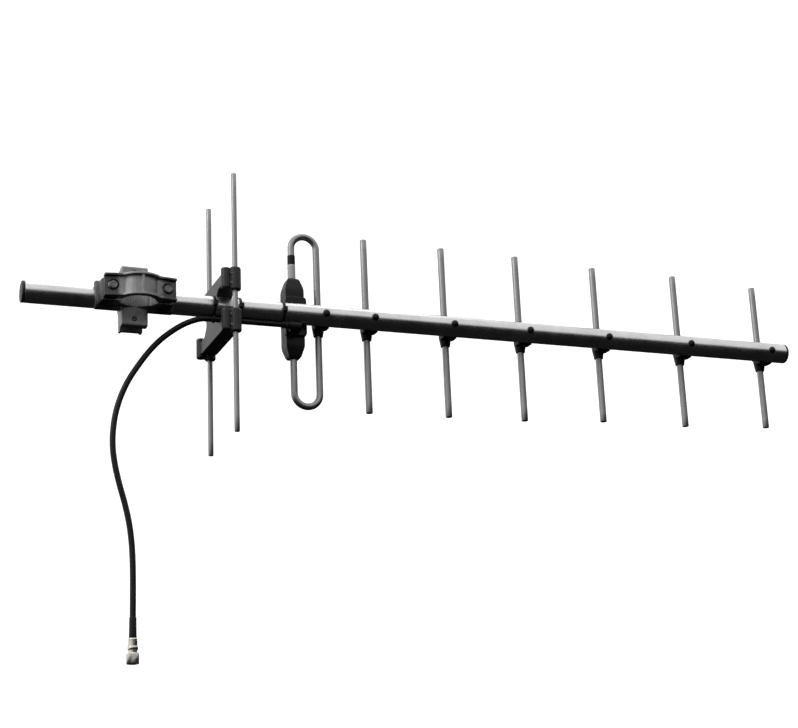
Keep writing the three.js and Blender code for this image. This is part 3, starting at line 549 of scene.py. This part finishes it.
# ---------------------------------------------------------------- boom and its end plugs
boom_low, boom_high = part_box("boom_tube")
boom_radius = (boom_high.z - boom_low.z) / 2
boom_axis = (0, (boom_low.y + boom_high.y) / 2, (boom_low.z + boom_high.z) / 2)
BOOM_WALL = 2 * MM
EDGE = 0.35 * MM


def boom():
    rear, tip = boom_low.x, boom_high.x
    inner = boom_radius - BOOM_WALL
    length = tip - rear
    stations = [rear + EDGE + (length - 2 * EDGE) * i / 60 for i in range(61)]
    outer = [(boom_radius - EDGE, rear), *((boom_radius, x) for x in stations), (boom_radius - EDGE, tip)]
    bore = [(inner + EDGE, tip), (inner, tip - EDGE), (inner, rear + EDGE), (inner + EDGE, rear)]
    turned(
        "boom_drawn_tube", outer + bore, "boom", "antenna", ["boom_tube"],
        axis="x", at=boom_axis, sides=96, closed=True,
    )


def end_plug(name, node, outward):
    low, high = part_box(node)
    end = boom_high.x if outward > 0 else boom_low.x
    face = high.x if outward > 0 else low.x
    crown = abs(face - end)
    stem = boom_radius - BOOM_WALL - 0.3 * MM
    profile = [
        (0, -14 * MM), (stem - 1.6 * MM, -14 * MM), (stem - 0.6 * MM, -12.5 * MM), (stem, -10 * MM),
        (stem, -7 * MM), (stem - 0.5 * MM, -6.6 * MM), (stem - 0.5 * MM, -5.6 * MM), (stem, -5.2 * MM),
        (stem, 0.3 * MM), (boom_radius - 0.3 * MM, 0.3 * MM), (boom_radius, 0.6 * MM),
        (boom_radius, crown - 1.6 * MM), (boom_radius - 0.35 * MM, crown - 0.9 * MM),
        (boom_radius - 1.2 * MM, crown - 0.35 * MM), (boom_radius - 2.6 * MM, crown - 0.1 * MM),
        (boom_radius * 0.62, crown), (boom_radius * 0.6, crown - 0.35 * MM),
        (boom_radius * 0.5, crown - 0.4 * MM), (boom_radius * 0.48, crown - 0.1 * MM),
        (2.2 * MM, crown), (2.0 * MM, crown - 0.3 * MM), (0, crown - 0.3 * MM),
    ]
    profile = [(r, end + outward * h) for r, h in profile]
    turned(name, profile, "plastic", "antenna", [node], axis="x", at=boom_axis, sides=72)


boom()
end_plug("boom_rear_plug", "boom_rear_cap", -1)
end_plug("boom_tip_plug", "boom_tip_cap", 1)


# ---------------------------------------------------------------- rods
def rod(name, node):
    low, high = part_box(node)
    radius = (high.x - low.x) / 2
    centre = (low + high) / 2
    chamfer = 0.6 * MM
    half = (high.z - low.z) / 2
    end = [
        (0, half - 0.9 * MM), (0.9 * MM, half - 0.15 * MM), (radius - chamfer * 1.2, half),
        (radius - chamfer * 0.4, half - chamfer * 0.35), (radius, half - chamfer * 1.3),
    ]
    side = [(radius, half * (1 - i / 8)) for i in range(1, 16)]
    profile = end + side + [(r, -h) for r, h in end[::-1]]
    turned(name, profile, "rod", "antenna", [node], at=tuple(centre), sides=40)


for number in range(1, 7):
    rod(f"director_rod_{number}", f"director_{number}")
rod("reflector_rod_near", "reflector_near")
rod("reflector_rod_far", "reflector_far")

# ---------------------------------------------------------------- saddles and their domed screws
DOME_RADIUS = 6.6 * MM
DOME_HEIGHT = 5.6 * MM
saddle_nodes = [*(f"director_saddle_{n}" for n in range(1, 7)), "dipole_saddle"]
screw_nodes = [*(f"director_screw_{n}" for n in range(1, 7)), "dipole_screw"]


def domed_screw(name, node):
    low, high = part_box(node)
    x = (low.x + high.x) / 2
    face = boom_axis[1] - boom_radius
    rise = [
        (DOME_RADIUS * math.cos(a), DOME_HEIGHT * math.sin(a))
        for a in (math.radians(d) for d in range(6, 90, 7))
    ]
    brim = [
        (DOME_RADIUS * 0.9, -2.0 * MM), (DOME_RADIUS * 0.985, -1.6 * MM),
        (DOME_RADIUS, -0.9 * MM), (DOME_RADIUS, 0),
    ]
    profile = [(0, -2 * MM), *brim, *rise, (0, DOME_HEIGHT)]
    profile = [(r, face - h) for r, h in profile]
    head = lathe(profile, "y", (x, 0, boom_axis[2]), 44)
    shank = lathe(
        [(0, face + 1.5 * MM), (2.5 * MM, face + 1.5 * MM), (2.5 * MM, high.y - 0.6 * MM), (0, high.y)],
        "y", (x, 0, boom_axis[2]), 20,
    )
    piece_from(name, *gathered(head, shank), "plastic", "antenna", [node])


first_saddle = softened(
    "saddle_moulding_1", saddle_nodes[0], 0.6 * MM, 4, "plastic", "antenna", [saddle_nodes[0]],
)
for number, node in enumerate(saddle_nodes[1:], 2):
    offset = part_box(node)[0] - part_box(saddle_nodes[0])[0]
    softened(
        f"saddle_moulding_{number}", node, 0, 0, "plastic", "antenna", [node],
        shift=tuple(offset), shared=first_saddle.data,
    )
for number, node in enumerate(screw_nodes, 1):
    domed_screw(f"domed_screw_{number}", node)

# ---------------------------------------------------------------- folded dipole, sleeve and band
dipole_low, dipole_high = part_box("folded_dipole")
ROD_RADIUS = 6.35 * MM
fed_x = dipole_low.x + ROD_RADIUS
second_x = dipole_high.x - ROD_RADIUS
dipole_y = (dipole_low.y + dipole_high.y) / 2
FEED_GAP = 20 * MM


def dipole():
    bend = (second_x - fed_x) / 2
    centre_x = (fed_x + second_x) / 2
    top = dipole_high.z - ROD_RADIUS - bend
    bottom = dipole_low.z + ROD_RADIUS + bend
    path = [(fed_x, dipole_y, FEED_GAP / 2 + (top - FEED_GAP / 2) * i / 8) for i in range(8)]
    for i in range(37):
        angle = math.pi * (1 - i / 36)
        path.append((centre_x + bend * math.cos(angle), dipole_y, top + bend * math.sin(angle)))
    path += [(second_x, dipole_y, top + (bottom - top) * i / 12) for i in range(1, 12)]
    for i in range(37):
        angle = -math.pi * i / 36
        path.append((centre_x + bend * math.cos(angle), dipole_y, bottom + bend * math.sin(angle)))
    path += [(fed_x, dipole_y, bottom + (-FEED_GAP / 2 - bottom) * i / 8) for i in range(1, 9)]
    piece_from("dipole_loop", *swept(path, ROD_RADIUS - 0.02 * MM, 40), "rod", "antenna", ["folded_dipole"])


def sleeves():
    low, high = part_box("dipole_sleeve")
    outer, inner = (high.x - low.x) / 2, ROD_RADIUS + 0.15 * MM
    at = (fed_x, dipole_y, 0)
    steps = 14
    wall = [
        (outer - 0.12 * MM * (1 + math.sin(i * 2.4)), low.z + (high.z - low.z) * (0.03 + 0.94 * i / steps))
        for i in range(steps + 1)
    ]
    profile = [(inner, low.z), (outer - 0.5 * MM, low.z), *wall, (outer - 0.5 * MM, high.z), (inner, high.z)]
    turned("sleeve_shrunk", profile, "sleeve", "antenna", ["dipole_sleeve"], at=at, closed=True)
    low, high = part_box("dipole_band")
    outer = (high.x - low.x) / 2
    wraps = 5
    profile = [(inner, low.z)]
    for i in range(wraps):
        start = low.z + (high.z - low.z) * i / wraps
        end = low.z + (high.z - low.z) * (i + 1) / wraps
        profile += [
            (outer - 0.28 * MM, start + 0.05 * MM), (outer - 0.2 * MM, (start + end) / 2),
            (outer, end - 0.1 * MM),
        ]
    profile.append((inner, high.z))
    turned("band_of_tape", profile, "tape", "antenna", ["dipole_band"], at=at, closed=True)


dipole()
sleeves()

# ---------------------------------------------------------------- feed housing
softened("housing_shell", "feed_housing", 0.65 * MM, 4, "plastic", "antenna", ["feed_housing"])
softened("housing_cover", "feed_cover", 0.65 * MM, 4, "plastic", "antenna", ["feed_cover"])
for node, look in (
    ("feed_terminal_upper", "brass"),
    ("feed_terminal_lower", "brass"),
    ("matching_board", "board"),
    ("feed_housing_screw", "steel"),
):
    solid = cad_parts[node]
    solid.data.materials.clear()
    solid.data.materials.append(LOOKS[look])


def cross_recess(radius, angle):
    """A pan head whose middle rings pinch into a cross."""
    return radius * (1 - 0.5 * abs(math.cos(2 * angle)) ** 6) if radius < 1.9 * MM else radius


def cover_screw(name, node):
    low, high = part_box(node)
    x, z = (low.x + high.x) / 2, (low.z + high.z) / 2
    top = high.y
    radius = (high.x - low.x) / 2
    profile = [
        (0, low.y), (1.6 * MM, low.y + 0.6 * MM), (1.6 * MM, top - 2.4 * MM), (radius, top - 2.4 * MM),
        (radius, top - 1.2 * MM), (radius * 0.92, top - 0.6 * MM),
        (radius * 0.7, top - 0.15 * MM), (1.8 * MM, top),
        (1.5 * MM, top - 0.9 * MM), (0, top - 1.1 * MM),
    ]
    turned(name, profile, "steel", "antenna", [node], axis="y", at=(x, 0, z), sides=48, shape=cross_recess)


cover_screw("cover_screw_pan_upper", "feed_cover_screw_upper")
cover_screw("cover_screw_pan_lower", "feed_cover_screw_lower")

# ---------------------------------------------------------------- reflector bracket and clips
softened("bracket_casting", "reflector_bracket", 0.75 * MM, 5, "dark", "antenna", ["reflector_bracket"])
CLIPS = ["near_upper", "near_lower", "far_upper", "far_lower"]
for place in CLIPS:
    node = f"reflector_clip_{place}"
    softened(f"clip_casting_{place}", node, 0.55 * MM, 4, "dark", "antenna", [node])


def socket_screw(name, x, y, z, outward):
    """Cap screw in the web of a clip: a round head with a hexagon socket."""
    head, height = 2.7 * MM, 2.8 * MM
    profile = [
        (0, -1.5 * MM), (head, -1.5 * MM), (head, height - 0.4 * MM),
        (head * 0.88, height), (1.55 * MM, height),
        (1.45 * MM, height - 0.2 * MM), (1.45 * MM, height - 1.6 * MM), (0, height - 1.9 * MM),
    ]
    profile = [(r, y + outward * h) for r, h in profile]

    def hexagon(radius, angle):
        if radius > 1.5 * MM:
            return radius
        return radius * math.cos(math.pi / 6) / math.cos((angle % (math.pi / 3)) - math.pi / 6)

    turned(name, profile, "steel", "antenna", axis="y", at=(x, 0, z), sides=48, shape=hexagon)


for place in CLIPS:
    low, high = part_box(f"reflector_clip_{place}")
    outward = -1 if place.startswith("near") else 1
    inner_face = high.y if outward < 0 else low.y
    web_x = low.x + 17 * MM
    for row, share in (("a", 0.28), ("b", 0.72)):
        socket_screw(
            f"clip_screw_{place}_{row}", web_x, inner_face + outward * 5.4 * MM,
            low.z + (high.z - low.z) * share, outward,
        )


def bracket_screw():
    low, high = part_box("bracket_screw")
    x, z = (low.x + high.x) / 2, (low.z + high.z) / 2
    seat = high.y - 4.2 * MM
    profile = [
        (0, low.y), (2.2 * MM, low.y + 0.4 * MM), (2.5 * MM, low.y + 1 * MM),
        (2.5 * MM, seat), (5.2 * MM, seat),
        (5.2 * MM, seat + 2.6 * MM), (4.7 * MM, seat + 3.5 * MM),
        (3.4 * MM, seat + 4.1 * MM), (2.2 * MM, seat + 4.2 * MM),
        (2.0 * MM, seat + 2.2 * MM), (0, seat + 2.0 * MM),
    ]
    turned(
        "bracket_screw_fine", profile, "steel", "antenna", ["bracket_screw"],
        axis="y", at=(x, 0, z), sides=48,
    )


bracket_screw()


# ---------------------------------------------------------------- cable along the boom, its gland and ties
def coax_run():
    low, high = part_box("coax_run")
    centre = (low + high) / 2
    count = 30
    path = [(low.x + (high.x - low.x) * i / count, centre.y, centre.z) for i in range(count + 1)]
    jacket = swept(path, COAX_RADIUS - 0.02 * MM, 28)
    piece_from("coax_run_jacket", *jacket, "jacket", "antenna", ["coax_run"])
    housing_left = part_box("feed_housing")[0].x
    body_left = middle("feed_housing").x - 13 * MM
    start = min(body_left, housing_left + 6 * MM)
    profile = [
        (5.35, 0), (6.4, 0), (6.9, 1), (7.4, 5), (6.7, 5.6),
        (6.7, 6.6), (7.9, 7.2), (8.2, 11), (8.6, 14), (5.35, 14),
    ]
    profile = [(r * MM, start - 13 * MM + h * MM) for r, h in profile]
    turned(
        "coax_gland", profile, "plastic", "antenna",
        axis="x", at=(0, centre.y, centre.z), sides=44, closed=True,
    )


coax_run()
for number in range(1, 4):
    node = f"cable_tie_{number}"
    softened(f"tie_strap_{number}", node, 0.35 * MM, 3, "plastic", "antenna", [node])

# ---------------------------------------------------------------- mast clamp
softened("clamp_casting", "clamp_base", 0.8 * MM, 4, "cast", "clamp", ["clamp_base"])
softened("mast_jaw_casting", "mast_jaw", 0.6 * MM, 4, "cast", "mast_jaw", ["mast_jaw"])
softened("boom_jaw_casting", "boom_jaw", 0.6 * MM, 4, "cast", "boom_jaw", ["boom_jaw"])
BOLT_RADIUS = 4 * MM
BOLT_HEAD = 7.5 * MM
BOLT_FLANGE = 8.8 * MM
PITCH = 1.25 * MM


def hexagonal(radius, angle):
    """The head's rings are cut back to six flats."""
    if radius < BOLT_RADIUS * 1.05 or radius > BOLT_HEAD * 1.02:
        return radius
    return min(radius, BOLT_HEAD * 0.866 / math.cos((angle % (math.pi / 3)) - math.pi / 6))


def hex_bolt(name, node, body, outward):
    """Flanged hexagon bolt along Y; outward is the way its head looks."""
    low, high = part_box(node)
    x, z = (low.x + high.x) / 2, (low.z + high.z) / 2
    head_face = low.y if outward < 0 else high.y
    tip = high.y if outward < 0 else low.y
    length = abs(tip - head_face) - 5.5 * MM
    head = [
        (0, 5.1 * MM), (3.9 * MM, 5.1 * MM), (4.4 * MM, 5.5 * MM), (6.2 * MM, 5.5 * MM), (6.9 * MM, 5.2 * MM),
        (7.3 * MM, 4.7 * MM), (BOLT_HEAD, 4.2 * MM), (BOLT_HEAD, 2.0 * MM), (BOLT_HEAD * 1.03, 1.7 * MM),
        (BOLT_FLANGE - 0.4 * MM, 1.15 * MM), (BOLT_FLANGE, 0.8 * MM), (BOLT_FLANGE, 0.3 * MM),
        (BOLT_FLANGE - 0.3 * MM, 0.02 * MM), (BOLT_RADIUS, 0.02 * MM),
    ]
    thread_from = -length * 0.35
    threads = []
    place = thread_from
    while place > -length + 1.6 * MM:
        threads += [(BOLT_RADIUS - 0.02 * MM, place), (BOLT_RADIUS - 0.65 * MM, place - PITCH * 0.5)]
        place -= PITCH
    tip_end = [(BOLT_RADIUS - 0.9 * MM, -length + 0.2 * MM), (BOLT_RADIUS - 1.2 * MM, -length), (0, -length)]
    profile = head + threads + tip_end
    seat = head_face - outward * 5.5 * MM
    profile = [(r, seat + outward * h) for r, h in profile]
    turned(name, profile, "steel", body, [node], axis="y", at=(x, 0, z), sides=72, shape=hexagonal)


hex_bolt("mast_hex_bolt_left", "mast_bolt_left", "mast_jaw", -1)
hex_bolt("mast_hex_bolt_right", "mast_bolt_right", "mast_jaw", -1)
hex_bolt("boom_hex_bolt_upper", "boom_bolt_upper", "boom_jaw", 1)
hex_bolt("boom_hex_bolt_lower", "boom_bolt_lower", "boom_jaw", 1)


# ---------------------------------------------------------------- floor, light
def make_floor():
    size, height = 60.0, -1.9
    mesh = bpy.data.meshes.new("floor")
    mesh.from_pydata(
        [(-size, -size, height), (size, -size, height), (size, size, height), (-size, size, height)],
        [],
        [(0, 1, 2, 3)],
    )
    floor = bpy.data.objects.new("floor", mesh)
    bpy.context.scene.collection.objects.link(floor)
    n = Nodes("floor_paint")
    clouds = n.noise(0.8)
    n.colour(n.mixed(clouds, grey(0.78), grey(0.82)))
    n.roughness(n.ranged(clouds, 0.3, 0.7, 0.8, 0.95))
    mesh.materials.append(n.material)
    floor.visible_diffuse = False
    floor.visible_glossy = False


def make_backdrop():
    """A bright round wall far off, seen by the camera only."""
    radius, low, high, sides = 45.0, -2.0, 90.0, 64
    ring = [(radius * math.cos(TURN * i / sides), radius * math.sin(TURN * i / sides)) for i in range(sides)]
    vertices = [(x, y, low) for x, y in ring] + [(x, y, high) for x, y in ring]
    faces = [(i, (i + 1) % sides, sides + (i + 1) % sides, sides + i) for i in range(sides)]
    mesh = bpy.data.meshes.new("backdrop")
    mesh.from_pydata(vertices, [], faces)
    wall = bpy.data.objects.new("backdrop", mesh)
    bpy.context.scene.collection.objects.link(wall)
    n = Nodes("backdrop_paint")
    clouds = n.noise(0.05)
    n.colour(n.mixed(clouds, grey(0.7), grey(0.74)))
    n.link(n.mixed(clouds, grey(0.97), grey(1.0)), n.shader.inputs["Emission Color"])
    n.shader.inputs["Emission Strength"].default_value = 0.9
    mesh.materials.append(n.material)
    wall.visible_diffuse = False
    wall.visible_glossy = False
    wall.visible_shadow = False


SIDE_LEAN = 0.25  # how far the dim part climbs on the right


def make_world():
    """Pale sky over a dim ground, for the light only, with the horizon raised on the camera's right."""
    world = bpy.data.worlds.new("sky")
    bpy.context.scene.world = world
    world.use_nodes = True
    tree = world.node_tree
    background = tree.nodes["Background"]
    place = tree.nodes.new("ShaderNodeTexCoord")
    ramp = tree.nodes.new("ShaderNodeMapRange")
    for key, number in (("From Min", -0.04), ("From Max", 0.26), ("To Min", 0.012), ("To Max", 1.15)):
        ramp.inputs[key].default_value = number
    ramp.interpolation_type = "SMOOTHSTEP"
    side = tree.nodes.new("ShaderNodeVectorMath")
    side.operation = "DOT_PRODUCT"
    side.inputs[1].default_value = (-SIDE_LEAN * CAMERA_RIGHT[0], -SIDE_LEAN * CAMERA_RIGHT[1], 1.0)
    tree.links.new(place.outputs["Generated"], side.inputs[0])
    tree.links.new(side.outputs["Value"], ramp.inputs["Value"])
    tree.links.new(ramp.outputs["Result"], background.inputs["Strength"])
    background.inputs["Color"].default_value = (0.985, 0.99, 1.0, 1)


def make_lamp(name, place, aim, size, power):
    data = bpy.data.lights.new(name, "AREA")
    data.shape = "DISK"
    data.size = size
    data.energy = power
    lamp = bpy.data.objects.new(name, data)
    lamp.location = place
    lamp.rotation_mode = "QUATERNION"
    lamp.rotation_quaternion = (Vector(aim) - Vector(place)).to_track_quat("-Z", "Y")
    bpy.context.scene.collection.objects.link(lamp)


make_floor()
make_backdrop()
make_world()
make_lamp("key_from_left", (-3.6, -0.8, 2.4), (0.4, 0, 0), 2.0, 50)
make_lamp("top_soft", (0.6, 0.8, 3.6), (0.5, 0, 0), 3.0, 30)
bpy.context.scene.view_settings.view_transform = "Standard"
